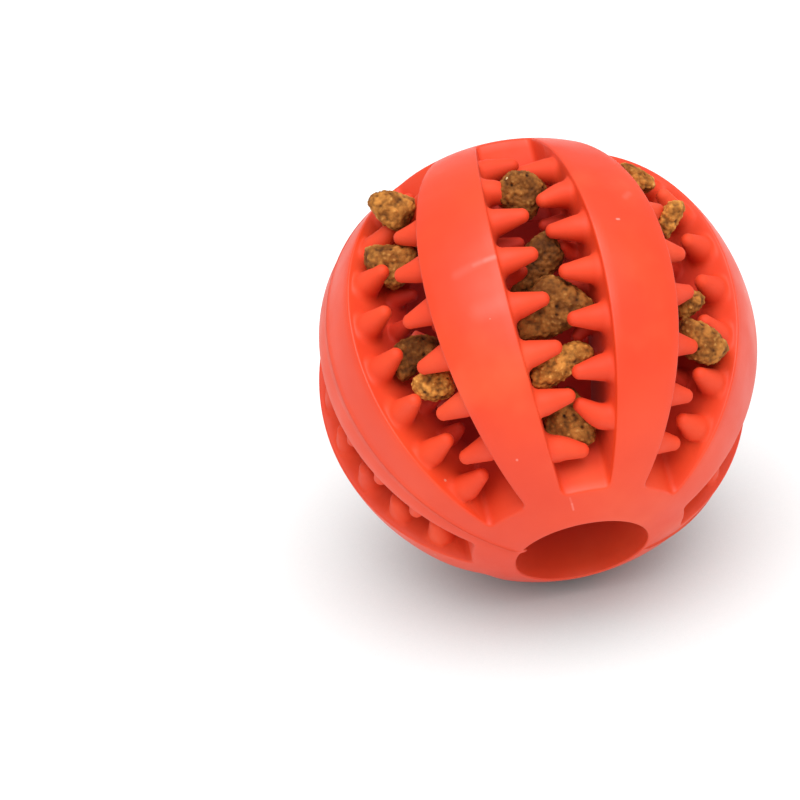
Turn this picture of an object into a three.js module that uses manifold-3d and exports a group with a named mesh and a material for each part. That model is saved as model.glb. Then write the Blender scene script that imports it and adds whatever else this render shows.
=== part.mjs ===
// A hollow rubber dog chew ball, lying on a floor, with dry food held between the teeth of its slots.
// Millimetres and degrees, +Z up. The origin is on the floor, straight under the ball's centre.
import * as THREE from 'three';
import { mergeVertices } from 'three/addons/utils/BufferGeometryUtils.js';
import loadManifold from 'manifold-3d';

const wasm = await loadManifold();
wasm.setup();

// Ball
const ballDiameter = 70;
const wallThickness = 11;
const holeDiameter = 20.7;
const holeCapDiameter = 33.4; // round block at the end with the hole, where the slots stop
const closedCapDiameter = 39; // round block at the other end
const slotCount = 8;
const slotWidth = 15.2; // on the outside, halfway between the ends

// Teeth: two rows on each slot wall, one under the other
const leftTeeth = 8; // in a row of a slot's left wall; the right wall has one fewer, in the gaps
const firstTooth = 6.8; // from the hole's cap to the first left tooth, along the outside of the ball
const lastTooth = 7.6; // from the last left tooth to the closed cap
const outerRow = { depth: 3.1, rootDiameter: 4.4, tipDiameter: 2.6, length: 6, sides: 6 };
const innerRow = { depth: 8.8, rootDiameter: 3.8, tipDiameter: 2.4, length: 4, sides: 4 };
const backing = 1; // slice of slot wall that a row of teeth grows from
const skin = 0.6; // rib that covers the backing on the outside
const gap = 0.3; // between neighbouring pieces

// How the ball lies: across two ribs, with slot 1 underneath
const contactAngle = 54; // from the hole's axis to straight down
const holeHeading = -80.2; // from +X, seen from above
const flattening = 0.5; // of the rubber that touches the floor

// Dry food, held in three of the slots: pebbles with 2 to 4 soft corners. "along" is the angle from
// the hole's axis, "side" the shift across the slot, "depth" how far the middle is under the ball's
// outside and "turn" the long axis's angle from straight across the slot. "size" is in tooth pitches,
// because only food that fits between the teeth stays in.
const kibbles = [
  { slot: 6, along: 128, side: 0.8, depth: 1, size: [1.1, 0.9, 0.73], turn: 160, corners: 3 },
  { slot: 6, along: 109.5, side: 1, depth: 3.4, size: [1.17, 0.85, 0.73], turn: 170, corners: 4 },
  { slot: 6, along: 79.7, side: 1, depth: 6, size: [0.93, 0.68, 0.66], turn: 30, corners: 4 },
  { slot: 6, along: 68, side: -0.5, depth: 5.2, size: [0.95, 0.61, 0.61], turn: 175, corners: 2 },
  { slot: 5, along: 122, side: 0.3, depth: 4.4, size: [0.98, 0.85, 0.73], turn: 140, corners: 3 },
  { slot: 5, along: 98, side: -0.5, depth: 6, size: [0.9, 0.78, 0.73], turn: 80, corners: 4 },
  { slot: 5, along: 80.6, side: -0.6, depth: 5.8, size: [1.17, 1.1, 0.73], turn: 40, corners: 3 },
  { slot: 5, along: 61.4, side: 0.4, depth: 5.2, size: [1.17, 0.59, 0.61], turn: 20, corners: 2 },
  { slot: 5, along: 47.4, side: -0.6, depth: 5.4, size: [1.05, 0.73, 0.66], turn: 105, corners: 3 },
  { slot: 4, along: 122.5, side: 0.8, depth: 1.4, size: [0.85, 0.68, 0.61], turn: 150, corners: 2 },
  { slot: 4, along: 106, side: 0.3, depth: 2.3, size: [0.93, 0.66, 0.61], turn: 60, corners: 2 },
  { slot: 4, along: 82, side: 0, depth: 4, size: [0.73, 0.63, 0.61], turn: 0, corners: 3 },
  { slot: 4, along: 69.5, side: -0.8, depth: 2.4, size: [1.15, 0.73, 0.66], turn: 160, corners: 2 },
];
const cornerBulge = 0.1;

// Fineness of the round shapes
const ribGrid = { across: 2, along: 10 };
const backingGrid = { across: 1, along: 6 };
const capSides = 32;
const arcSteps = 3;
const pebbleDetail = 2;
const hollowDetail = 1; // of the room that teeth leave for food

// Finishes
const redRubber = new THREE.MeshStandardMaterial({ color: 0xf2452c, roughness: 0.5, metalness: 0 });
const bakedFood = new THREE.MeshStandardMaterial({ color: 0x8a5a2b, roughness: 0.9, metalness: 0 });

// Worked out from the sizes above. The ball has its own frame: +Z along the hole's axis and out of
// the hole, with slot 1 in the +X direction.
const { degToRad, lerp } = THREE.MathUtils;
const ballRadius = ballDiameter / 2;
const innerRadius = ballRadius - wallThickness;
const holeRadius = holeDiameter / 2;
const holeCapRadius = holeCapDiameter / 2;
const closedCapRadius = closedCapDiameter / 2;
const slotSpacing = (2 * Math.PI) / slotCount;
const slotHalfAngle = Math.asin(slotWidth / ballDiameter);
const firstAngle = Math.asin(holeCapRadius / ballRadius) + firstTooth / ballRadius;
const lastAngle = Math.PI - Math.asin(closedCapRadius / ballRadius) - lastTooth / ballRadius;
const pitchAngle = (lastAngle - firstAngle) / (leftTeeth - 1);
const toothPitch = pitchAngle * ballRadius;
const backingTop = ballRadius - skin - gap;
const contact = degToRad(contactAngle);
const restingEdge = ballRadius * Math.sin(contact) * Math.sin(slotHalfAngle);
const centreHeight = Math.sqrt(ballRadius ** 2 - restingEdge ** 2) - flattening;

// Point of the ball at a radius, an angle from the hole's axis and an azimuth.
function onBall(radius, angle, azimuth) {
  const toAxis = radius * Math.sin(angle);
  const height = radius * Math.cos(angle);
  return new THREE.Vector3(toAxis * Math.cos(azimuth), toAxis * Math.sin(azimuth), height);
}

// Direction of growing azimuth.
function acrossAt(azimuth) {
  return new THREE.Vector3(-Math.sin(azimuth), Math.cos(azimuth), 0);
}

// Moves every vertex of a closed geometry, and keeps only its joined-up positions and real faces.
function reshape(geometry, move) {
  const loose = geometry.clone();
  loose.deleteAttribute('normal');
  loose.deleteAttribute('uv');
  const position = loose.getAttribute('position');
  const point = new THREE.Vector3();
  for (let i = 0; i < position.count; i += 1) {
    const moved = move(point.fromBufferAttribute(position, i));
    position.setXYZ(i, moved.x, moved.y, moved.z);
  }
  const joined = mergeVertices(loose);
  const corners = joined.getIndex().array;
  const faces = [];
  for (let i = 0; i < corners.length; i += 3) {
    const [a, b, c] = corners.slice(i, i + 3);
    if (a !== b && b !== c && c !== a) faces.push(a, b, c);
  }
  joined.setIndex(faces);
  return joined;
}

function toSolid(geometry) {
  const shape = reshape(geometry, (point) => point);
  const vertProperties = new Float32Array(shape.getAttribute('position').array);
  const triVerts = new Uint32Array(shape.getIndex().array);
  return new wasm.Manifold(new wasm.Mesh({ numProp: 3, vertProperties, triVerts }));
}

function toGeometry(solid) {
  const { vertProperties, triVerts } = solid.getMesh();
  const geometry = new THREE.BufferGeometry();
  geometry.setAttribute('position', new THREE.BufferAttribute(vertProperties, 3));
  geometry.setIndex(new THREE.BufferAttribute(triVerts, 1));
  geometry.computeVertexNormals();
  return geometry;
}

// Block of the ball's wall that runs from cap to cap, between two radii and two flat sides. A side
// is parallel to a slot wall: it has that wall's azimuth and an inset from it.
function wallBlock([lowRadius, highRadius], [lowSide, highSide], grid) {
  const box = new THREE.BoxGeometry(1, 1, 1, grid.across, 1, grid.along);
  return reshape(box, (corner) => {
    const radius = lerp(lowRadius, highRadius, corner.y + 0.5);
    const start = Math.asin((holeCapRadius + gap) / radius);
    const stop = Math.PI - Math.asin((closedCapRadius + gap) / radius);
    const angle = lerp(start, stop, corner.z + 0.5);
    const toAxis = radius * Math.sin(angle);
    const low = lowSide.azimuth + Math.asin(lowSide.inset / toAxis);
    const high = highSide.azimuth + Math.asin(highSide.inset / toAxis);
    return onBall(radius, angle, lerp(low, high, corner.x + 0.5));
  });
}

// Space under the floor that the ball lies on, in the ball's frame.
function underFloor() {
  const down = onBall(1, contact, 0);
  const block = new THREE.BoxGeometry(ballDiameter, ballDiameter, ballDiameter);
  block.translate(0, 0, centreHeight + ballRadius);
  block.applyQuaternion(new THREE.Quaternion().setFromUnitVectors(new THREE.Vector3(0, 0, 1), down));
  return toSolid(block);
}

// Rib between a slot and the next one. Its skin is as wide as the rib is outside, and its core
// leaves room on both sides for the backing of the teeth.
function ribGeometry(slot) {
  const lowWall = slot * slotSpacing + slotHalfAngle;
  const highWall = (slot + 1) * slotSpacing - slotHalfAngle;
  const sides = (inset) => [{ azimuth: lowWall, inset }, { azimuth: highWall, inset: -inset }];
  const top = wallBlock([ballRadius - skin, ballRadius], sides(0), ribGrid);
  const core = wallBlock([innerRadius, ballRadius - skin / 2], sides(backing + gap), ribGrid);
  return toGeometry(toSolid(top).add(toSolid(core)).subtract(underFloor()));
}

// Points of an arc about the ball's centre, as distance from the axis and height along it.
function arc(radius, fromAngle, toAngle) {
  const points = [];
  for (let i = 0; i <= arcSteps; i += 1) {
    const angle = lerp(fromAngle, toAngle, i / arcSteps);
    points.push(new THREE.Vector2(radius * Math.sin(angle), radius * Math.cos(angle)));
  }
  return points;
}

function turned(profile, sides) {
  return new THREE.LatheGeometry(profile, sides).rotateX(Math.PI / 2);
}

// End of the ball with the hole through it. Its side, where the slots stop, is parallel to the hole.
function holeCapGeometry() {
  const [bore, side] = [holeRadius, holeCapRadius];
  const inside = arc(innerRadius, Math.asin(bore / innerRadius), Math.asin(side / innerRadius));
  const outside = arc(ballRadius, Math.asin(side / ballRadius), Math.asin(bore / ballRadius));
  return reshape(turned([...inside, ...outside, inside[0]], capSides), (point) => point);
}

// End of the ball without a hole, with a side like that of the other end.
function closedCapGeometry() {
  const outside = arc(ballRadius, Math.PI, Math.PI - Math.asin(closedCapRadius / ballRadius));
  const inside = arc(innerRadius, Math.PI - Math.asin(closedCapRadius / innerRadius), Math.PI);
  return reshape(turned([...outside, ...inside], capSides), (point) => point);
}

// Tooth of a row: a cone with a blunt tip that stands on a slot wall.
function toothSolid(row, root, direction) {
  const { rootDiameter, tipDiameter, length, sides } = row;
  const foot = -backing / 2;
  const shoulder = length - tipDiameter / 4;
  const profile = [
    new THREE.Vector2(0, foot),
    new THREE.Vector2(rootDiameter / 2, foot),
    new THREE.Vector2(tipDiameter / 2, shoulder),
    new THREE.Vector2(0, length),
  ];
  const cone = new THREE.LatheGeometry(profile, sides);
  cone.applyQuaternion(new THREE.Quaternion().setFromUnitVectors(new THREE.Vector3(0, 1, 0), direction));
  cone.translate(root.x, root.y, root.z);
  return toSolid(cone);
}

// Both rows of teeth on one wall of a slot, with their backing. "hand" is 1 for the left wall and -1
// for the right one, seen from outside with the hole's end down. The teeth of the two walls are half
// a pitch apart, so that they mesh. Where a cap is in the way there is no tooth, and teeth that hold
// food give way to it.
function teethGeometry(slot, hand) {
  const wall = slot * slotSpacing + hand * slotHalfAngle;
  const insets = [0, hand * backing].sort((a, b) => a - b);
  const sides = insets.map((inset) => ({ azimuth: wall, inset }));
  let solid = toSolid(wallBlock([innerRadius, backingTop], sides, backingGrid));
  const direction = acrossAt(wall).multiplyScalar(-hand);
  const [count, shift] = hand > 0 ? [leftTeeth, 0] : [leftTeeth - 1, 0.5];
  for (let i = 0; i < count; i += 1) {
    const angle = firstAngle + (i + shift) * pitchAngle;
    const capRadius = angle < Math.PI / 2 ? holeCapRadius : closedCapRadius;
    for (const row of [outerRow, innerRow]) {
      const root = onBall(ballRadius - row.depth, angle, wall);
      const toCap = Math.hypot(root.x, root.y) - row.rootDiameter / 2 - capRadius;
      if (toCap > gap) solid = solid.add(toothSolid(row, root, direction));
    }
  }
  for (const kibble of kibbles.filter((each) => each.slot === slot + 1)) {
    solid = solid.subtract(kibbleRoom(kibble));
  }
  const pieces = solid.decompose().sort((a, b) => b.volume() - a.volume());
  return toGeometry(pieces[0]);
}

// Pebble of dry food, grown on all sides by a margin.
function kibbleGeometry({ size, corners }, margin, detail) {
  const [length, width, thickness] = size.map((pitches) => (pitches * toothPitch) / 2 + margin);
  return reshape(new THREE.IcosahedronGeometry(1, detail), (point) => {
    const reach = Math.hypot(point.x, point.y);
    const bulge = 1 + cornerBulge * reach * Math.cos(corners * Math.atan2(point.y, point.x));
    return point.set(point.x * length * bulge, point.y * width * bulge, point.z * thickness);
  });
}

// Where a piece of food sits: its thickness points out of the ball.
function kibblePlace({ slot, along, side, depth, turn }) {
  const azimuth = (slot - 1) * slotSpacing;
  const outward = onBall(1, degToRad(along), azimuth);
  const across = acrossAt(azimuth);
  const towardsHole = new THREE.Vector3().crossVectors(outward, across);
  const seat = new THREE.Matrix4().makeBasis(across, towardsHole, outward);
  const spin = new THREE.Matrix4().makeRotationZ(degToRad(turn));
  const place = outward.clone().multiplyScalar(ballRadius - depth).addScaledVector(across, side);
  return seat.multiply(spin).setPosition(place);
}

// Room that the teeth leave for a piece of food.
function kibbleRoom(kibble) {
  return toSolid(kibbleGeometry(kibble, 2 * gap, hollowDetail).applyMatrix4(kibblePlace(kibble)));
}

function addPiece(group, name, geometry, material) {
  const mesh = new THREE.Mesh(geometry, material);
  mesh.name = name;
  group.add(mesh);
  return mesh;
}

const ball = new THREE.Group();
addPiece(ball, 'hole_cap', holeCapGeometry(), redRubber);
addPiece(ball, 'closed_cap', closedCapGeometry(), redRubber);
for (let slot = 0; slot < slotCount; slot += 1) {
  addPiece(ball, `rib_${slot + 1}`, ribGeometry(slot), redRubber);
  addPiece(ball, `left_teeth_${slot + 1}`, teethGeometry(slot, 1), redRubber);
  addPiece(ball, `right_teeth_${slot + 1}`, teethGeometry(slot, -1), redRubber);
}
kibbles.forEach((kibble, index) => {
  const piece = addPiece(ball, `kibble_${index + 1}`, kibbleGeometry(kibble, 0, pebbleDetail), bakedFood);
  piece.applyMatrix4(kibblePlace(kibble));
});
ball.rotation.y = Math.PI - contact;
ball.position.z = centreHeight;

const lyingBall = new THREE.Group();
lyingBall.add(ball);
lyingBall.rotation.z = degToRad(holeHeading);

export default lyingBall;
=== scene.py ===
"""Looks of a hollow rubber dog chew ball that lies on the floor with dry food between its teeth.

The ball is one moulding, so its ends, ribs, slots and teeth are one closed mesh here. It is made patch
by patch in the ball's own frame, with the filling hole along +Z and slot 1 along +X, and every point
is then laid down as the frame has it. Lengths are in metres and angles in radians.
"""
import math

import bmesh
import bpy
import numpy as np
from mathutils import Matrix, Vector, noise
from mathutils.bvhtree import BVHTree


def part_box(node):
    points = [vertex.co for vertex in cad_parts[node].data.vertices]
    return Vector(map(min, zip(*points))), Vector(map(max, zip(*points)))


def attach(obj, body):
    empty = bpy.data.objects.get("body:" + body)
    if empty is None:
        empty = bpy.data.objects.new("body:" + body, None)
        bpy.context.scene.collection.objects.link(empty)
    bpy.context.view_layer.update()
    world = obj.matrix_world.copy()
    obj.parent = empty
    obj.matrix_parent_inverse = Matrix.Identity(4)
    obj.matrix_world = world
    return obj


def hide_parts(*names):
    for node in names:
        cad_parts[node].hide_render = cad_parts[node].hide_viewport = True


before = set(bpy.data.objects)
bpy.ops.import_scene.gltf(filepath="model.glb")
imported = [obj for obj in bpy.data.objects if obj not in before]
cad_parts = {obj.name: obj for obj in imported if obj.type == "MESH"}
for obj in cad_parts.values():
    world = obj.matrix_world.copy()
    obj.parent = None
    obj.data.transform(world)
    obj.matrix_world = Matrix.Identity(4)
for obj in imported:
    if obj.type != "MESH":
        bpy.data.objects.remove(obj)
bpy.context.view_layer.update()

MM = 0.001

# Ball
BALL_RADIUS = 35 * MM
WALL_THICKNESS = 11 * MM
HOLE_RADIUS = 10.35 * MM
HOLE_CAP_RADIUS = 16.7 * MM
CLOSED_CAP_RADIUS = 19.5 * MM
SLOT_COUNT = 8
SLOT_WIDTH = 15.2 * MM

# Teeth, with their radii at the root and at the tip
LEFT_TEETH = 8
FIRST_TOOTH = 6.8 * MM
LAST_TOOTH = 7.6 * MM
OUTER_ROW = {
    "depth": 3.1 * MM,
    "root": 2.05 * MM,
    "tip": 1.2 * MM,
    "length": 5.9 * MM,
    "fillet": 1.3 * MM,
}
INNER_ROW = {
    "depth": 8.65 * MM,
    "root": 1.55 * MM,
    "tip": 1 * MM,
    "length": 4 * MM,
    "fillet": 0.8 * MM,
}
INNER_TEETH_LEFT_OUT = 1

# Roundings
SLOT_RIM = 0.3 * MM
INNER_RIM = 0.3 * MM
HOLE_RIM = 0.35 * MM
SLOT_CORNER = 0.9 * MM

# How the ball lies
CONTACT_ANGLE = math.radians(54)
HOLE_HEADING = math.radians(-80.2)
FLATTENING = 0.5 * MM

# Mould parting line, over two opposite ribs, and the flap of flash that it leaves at the hole
PARTING_AZIMUTH = math.radians(249.5)
PARTING_RIDGE = 0.22 * MM
RIDGE_HALF = math.radians(0.6)
PARTING_STEP = 0.14 * MM
STEP_START = math.radians(0.2)
STEP_END = math.radians(5)
FLASH_REACH = 0.9 * MM
FLASH_HALF = math.radians(2.2)

# Mesh lines: a tooth grows from a cell of its wall, and a rib has close lines at the parting line
CELL_STEPS = 6
CORNER_STEPS = 4
ARC_STEPS = 3
RIB_LINES = np.array([-1, -0.75, -0.5, -0.25, 0, 0.17, 0.22, 0.27, 0.5, 0.75, 1])
END_LINES = 5
CLOSED_CAP_ROWS = 10
HOLE_CAP_ROWS = 6
BORE_ROWS = 6
JOIN_DISTANCE = 0.002 * MM

# Worked out from the sizes above
INNER_RADIUS = BALL_RADIUS - WALL_THICKNESS
SLOT_SPACING = 2 * math.pi / SLOT_COUNT
SLOT_HALF = math.asin(SLOT_WIDTH / 2 / BALL_RADIUS)
RIB_HALF = SLOT_SPACING / 2 - SLOT_HALF
FIRST_ANGLE = math.asin(HOLE_CAP_RADIUS / BALL_RADIUS) + FIRST_TOOTH / BALL_RADIUS
LAST_ANGLE = math.pi - math.asin(CLOSED_CAP_RADIUS / BALL_RADIUS) - LAST_TOOTH / BALL_RADIUS
PITCH = (LAST_ANGLE - FIRST_ANGLE) / (LEFT_TEETH - 1)
RESTING_EDGE = BALL_RADIUS * math.sin(CONTACT_ANGLE) * math.sin(SLOT_HALF)
CENTRE = Vector((0, 0, math.sqrt(BALL_RADIUS**2 - RESTING_EDGE**2) - FLATTENING))
POSE = Matrix.Rotation(HOLE_HEADING, 3, "Z") @ Matrix.Rotation(math.pi - CONTACT_ANGLE, 3, "Y")

# Camera
CAMERA_ELEVATION = math.radians(28)
CAMERA_ROLL = math.radians(5)
CAMERA_DISTANCE = 490 * MM
FOCAL_PIXELS = 3101
FRAME_PIXELS = 800
SENSOR_WIDTH = 36
BALL_PIXEL = (535.2, 360.1)
TO_CAMERA = Vector((0, -math.cos(CAMERA_ELEVATION), math.sin(CAMERA_ELEVATION)))
LEVEL = Vector((1, 0, 0))
UPRIGHT = TO_CAMERA.cross(LEVEL)
PICTURE_RIGHT = math.cos(CAMERA_ROLL) * LEVEL - math.sin(CAMERA_ROLL) * UPRIGHT
PICTURE_UP = math.sin(CAMERA_ROLL) * LEVEL + math.cos(CAMERA_ROLL) * UPRIGHT

# Food: corners of each piece as the camera sees it, in pixels of the frame
FOOD_CORNERS = {
    1: [(367, 203), (373, 193), (383, 190), (394, 191), (420, 201), (420, 214), (398, 234), (384, 227)],
    2: [(361, 252), (366, 245), (400, 244), (421, 246), (421, 254), (405, 284), (392, 291), (364, 268)],
    3: [(391, 353), (395, 343), (411, 334), (438, 336), (439, 350), (412, 378), (402, 385), (395, 377)],
    4: [(411, 386), (414, 375), (421, 372), (450, 371), (457, 390), (450, 398), (434, 402), (415, 396)],
    5: [(495, 203), (499, 182), (508, 172), (528, 171), (542, 179), (549, 190), (533, 221), (504, 212)],
    6: [(500, 273), (531, 238), (541, 229), (551, 228), (567, 256), (556, 273), (532, 297), (503, 298)],
    7: [(508, 322), (542, 273), (552, 271), (577, 283), (600, 305), (572, 330), (546, 342), (513, 345)],
    8: [(527, 388), (528, 367), (568, 341), (587, 340), (597, 350), (592, 361), (546, 391), (534, 393)],
    9: [(533, 436), (562, 386), (572, 385), (592, 411), (598, 432), (595, 444), (585, 448), (540, 444)],
    10: [(619, 164), (628, 163), (642, 170), (654, 180), (656, 187), (646, 194), (634, 190), (622, 176)],
    11: [(655, 222), (664, 206), (673, 200), (682, 201), (687, 211), (676, 227), (669, 241), (660, 236)],
    12: [(673, 303), (684, 292), (699, 291), (705, 298), (704, 305), (690, 317), (678, 319), (673, 314)],
    13: [(676, 332), (681, 318), (694, 318), (715, 329), (731, 348), (727, 356), (711, 367), (684, 357)],
}


def on_ball(radius, angle, azimuth):
    """Points of the ball at a radius, an angle from the hole's axis and an azimuth."""
    radius, angle, azimuth = np.broadcast_arrays(radius, angle, azimuth)
    to_axis = radius * np.sin(angle)
    sideways = [to_axis * np.cos(azimuth), to_axis * np.sin(azimuth)]
    return np.stack([*sideways, radius * np.cos(angle)], axis=-1)


def lay(points):
    """Points of the ball's own frame, where the lying ball has them. The floor flattens the rubber."""
    laid = np.asarray(points) @ np.array(POSE).T + np.array(CENTRE)
    laid[..., 2] = np.maximum(laid[..., 2], 0)
    return laid


def camera_axes():
    """The camera's right, up and forward, which bring the ball's middle out at its pixel of the frame."""
    beside, below = ((pixel - FRAME_PIXELS / 2) / FOCAL_PIXELS for pixel in BALL_PIXEL)
    aim = (-TO_CAMERA - beside * PICTURE_RIGHT + below * PICTURE_UP).normalized()
    side = (PICTURE_RIGHT - PICTURE_RIGHT.dot(aim) * aim).normalized()
    return side, side.cross(aim), aim


def seen_on_ball(x, y):
    """Place on the ball's outside that the camera sees at a pixel of the frame."""
    side, up, aim = camera_axes()
    beside = (x - FRAME_PIXELS / 2) / FOCAL_PIXELS
    above = (FRAME_PIXELS / 2 - y) / FOCAL_PIXELS
    ray = (aim + beside * side + above * up).normalized()
    start = CAMERA_DISTANCE * TO_CAMERA
    nearest = -start.dot(ray)
    ahead = nearest - math.sqrt(nearest**2 - start.length_squared + BALL_RADIUS**2)
    return CENTRE + start + ahead * ray


def new_object(name, data):
    """An object of the scene that shows a mesh, a lamp or a camera."""
    made = bpy.data.objects.new(name, data)
    bpy.context.scene.collection.objects.link(made)
    return made


# Food's chipped block: how sharp its edges are, and how steep and how deep the chips along them
FACET_SHARPNESS = 9
FACET_SLOPES = (0.55, 1.1)
FACET_CUT = (0.84, 1)
FOOD_DETAIL = 6
WALL_GAP = 0.1 * MM
# How far each piece of food sits behind its solid, as the camera sees it
FOOD_SINK = 1.2 * MM
OTHER_SINKS = {
    1: -0.9 * MM,
    2: 3 * MM,
    3: 2.4 * MM,
    5: -0.5 * MM,
    6: 2.6 * MM,
    7: 1.8 * MM,
    9: 2.2 * MM,
    13: 2.2 * MM,
}

# Food's baked surface. Lumps and crumbs are layers of noise, each finer by a ratio and fainter by a fade
NOISE_LAYERS = 3
LAYER_RATIO = 2
LUMP_SIZE = 2.4 * MM
LUMP_HEIGHT = 0.12 * MM
LUMP_FADE = 1
CRUMB_SIZE = 1 * MM
CRUMB_HEIGHT = 0.16 * MM
CRUMB_FADE = 0.8
GRAIN_SIZE = 0.75 * MM
GRAIN_HEIGHT = 0.34 * MM
GRAIN_LEVEL = 0.42
PIT_SPACING = 1.7 * MM
PIT_SHARE = 0.22
PIT_DEPTH = 0.35 * MM
# How pale each piece of food is baked, with painted light and shade for pieces that lie lit or shaded, and
# how strongly that tells on red, green and blue
FOOD_TONES_AND_SHADE = {
    1: 1.5,
    2: 1.15,
    3: 0.75,
    4: 2.2,
    5: 0.9,
    6: 0.6,
    7: 0.85,
    8: 1.8,
    9: 1.1,
    10: 1.5,
    11: 1.9,
    12: 1.6,
    13: 1.15,
}
ROAST_AND_SHADE_POWERS = np.array([1, 1.2, 1.25])


def food_middle(number):
    """Middle of the solid that a piece of food takes the place of."""
    low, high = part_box(f"kibble_{number}")
    return (low + high) / 2


def seen_corners(number, middle):
    """Corners of a piece of food, in metres right of and above the ball's middle."""
    scale = (CAMERA_DISTANCE - (middle - CENTRE).dot(TO_CAMERA)) / FOCAL_PIXELS
    ball_x, ball_y = BALL_PIXEL
    return [((x - ball_x) * scale, (ball_y - y) * scale) for x, y in FOOD_CORNERS[number]]


def food_planes(corners, front, back, chance):
    """Flat sides of a piece of food, as normals and distances: faces, outline and chipped edges."""
    planes = [((0, 0, 1), front), ((0, 0, -1), back)]
    for (x, y), (next_x, next_y) in zip(corners, corners[1:] + corners[:1]):
        length = math.hypot(next_x - x, next_y - y)
        normal = ((y - next_y) / length, (next_x - x) / length)
        reach = normal[0] * x + normal[1] * y
        planes.append(((*normal, 0), reach))
        for face, depth in ((1, front), (-1, back)):
            slope = chance.uniform(*FACET_SLOPES)
            tilt = math.hypot(1, slope)
            chip = chance.uniform(*FACET_CUT) * (reach + slope * depth) / tilt
            planes.append(((normal[0] / tilt, normal[1] / tilt, face * slope / tilt), chip))
    return planes


def block_reach(directions, planes):
    """How far a softly rounded block, with these flat sides, reaches in each direction."""
    normals = np.array([normal for normal, _ in planes])
    distances = np.array([distance for _, distance in planes])
    share = np.clip(directions @ normals.T / distances, 0, None)
    return (share**FACET_SHARPNESS).sum(axis=1) ** (-1 / FACET_SHARPNESS)


def between_walls(points):
    """Food that presses against the walls of its slot goes no further."""
    own = (points - np.array(CENTRE)) @ np.array(POSE)
    slot = np.round(np.arctan2(*own.mean(axis=0)[1::-1]) / SLOT_SPACING)
    for hand in (1, -1):
        azimuth = slot * SLOT_SPACING + hand * SLOT_HALF
        outward = hand * np.array([-math.sin(azimuth), math.cos(azimuth), 0])
        beyond = np.clip(own @ outward + WALL_GAP, 0, None)
        beyond[np.linalg.norm(own, axis=1) < INNER_RADIUS] = 0
        own = own - beyond[:, None] * outward
    cap = np.where(own[:, 2] > 0, HOLE_CAP_RADIUS, CLOSED_CAP_RADIUS)
    pushed = np.clip((cap + WALL_GAP) / np.linalg.norm(own[:, :2], axis=1), 1, None)
    pushed[np.linalg.norm(own, axis=1) < INNER_RADIUS] = 1
    own[:, :2] *= pushed[:, None]
    return own @ np.array(POSE).T + np.array(CENTRE)


def food_block(number):
    """A piece of food before it is crumbled: a chipped block with the outline that the camera sees."""
    chance = np.random.default_rng(number)
    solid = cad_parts[f"kibble_{number}"].data
    middle = food_middle(number)
    depths = [(vertex.co - middle).dot(TO_CAMERA) for vertex in solid.vertices]
    corners = seen_corners(number, middle)
    centre = np.mean(corners, axis=0)
    planes = food_planes([tuple(corner) for corner in corners - centre], max(depths), -min(depths), chance)
    work = bmesh.new()
    bmesh.ops.create_icosphere(work, subdivisions=FOOD_DETAIL, radius=1)
    mesh = bpy.data.meshes.new(f"food_piece_{number}")
    work.to_mesh(mesh)
    work.free()
    directions = np.array([vertex.co for vertex in mesh.vertices])
    depth = (middle - CENTRE).dot(TO_CAMERA) - OTHER_SINKS.get(number, FOOD_SINK)
    own = directions * block_reach(directions, planes)[:, None] + [*centre, depth]
    points = own @ np.array([PICTURE_RIGHT, PICTURE_UP, TO_CAMERA]) + np.array(CENTRE)
    mesh.vertices.foreach_set("co", between_walls(points).ravel())
    mesh.update()
    return mesh


def crumb_relief(point):
    """Height of the food's baked, porous surface at a point: lumps, crumbs, grains and pits."""
    lumps = noise.fractal(point / LUMP_SIZE, LUMP_FADE, LAYER_RATIO, NOISE_LAYERS)
    crumbs = noise.fractal(point / CRUMB_SIZE, CRUMB_FADE, LAYER_RATIO, NOISE_LAYERS)
    grains = GRAIN_LEVEL - noise.voronoi(point / GRAIN_SIZE)[0][0]
    pit = max(0, 1 - noise.voronoi(point / PIT_SPACING)[0][0] / PIT_SHARE)
    return LUMP_HEIGHT * lumps + CRUMB_HEIGHT * crumbs + GRAIN_HEIGHT * grains - PIT_DEPTH * pit


def crumble(mesh, tone):
    """Gives smooth food its baked surface, and keeps for the material its relief, from which shade and
    light are painted, and its baked tone with painted light and shade.
    """
    points = np.array([vertex.co for vertex in mesh.vertices])
    normals = np.array([vertex.normal for vertex in mesh.vertices])
    relief = np.array([crumb_relief(Vector(point)) for point in points])
    mesh.vertices.foreach_set("co", (points + relief[:, None] * normals).ravel())
    kept = mesh.attributes.new("relief", "FLOAT", "POINT")
    kept.data.foreach_set("value", relief / MM)
    roast_and_shade = mesh.attributes.new("roast_and_shade", "FLOAT_VECTOR", "POINT")
    roast_and_shade.data.foreach_set("vector", np.tile(tone**ROAST_AND_SHADE_POWERS, len(points)))
    for face in mesh.polygons:
        face.use_smooth = True
    mesh.update()


def add_food(number):
    """A piece of food, its solid's middle, and its shape for the teeth to give way to."""
    mesh = food_block(number)
    corners = [vertex.co.copy() for vertex in mesh.vertices]
    shape = BVHTree.FromPolygons(corners, [tuple(face.vertices) for face in mesh.polygons])
    crumble(mesh, FOOD_TONES_AND_SHADE[number])
    piece = new_object(f"food_piece_{number}", mesh)
    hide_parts(f"kibble_{number}")
    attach(piece, f"food_{number}")
    return piece, food_middle(number), shape


FOOD = [add_food(number) for number in FOOD_CORNERS]


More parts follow.
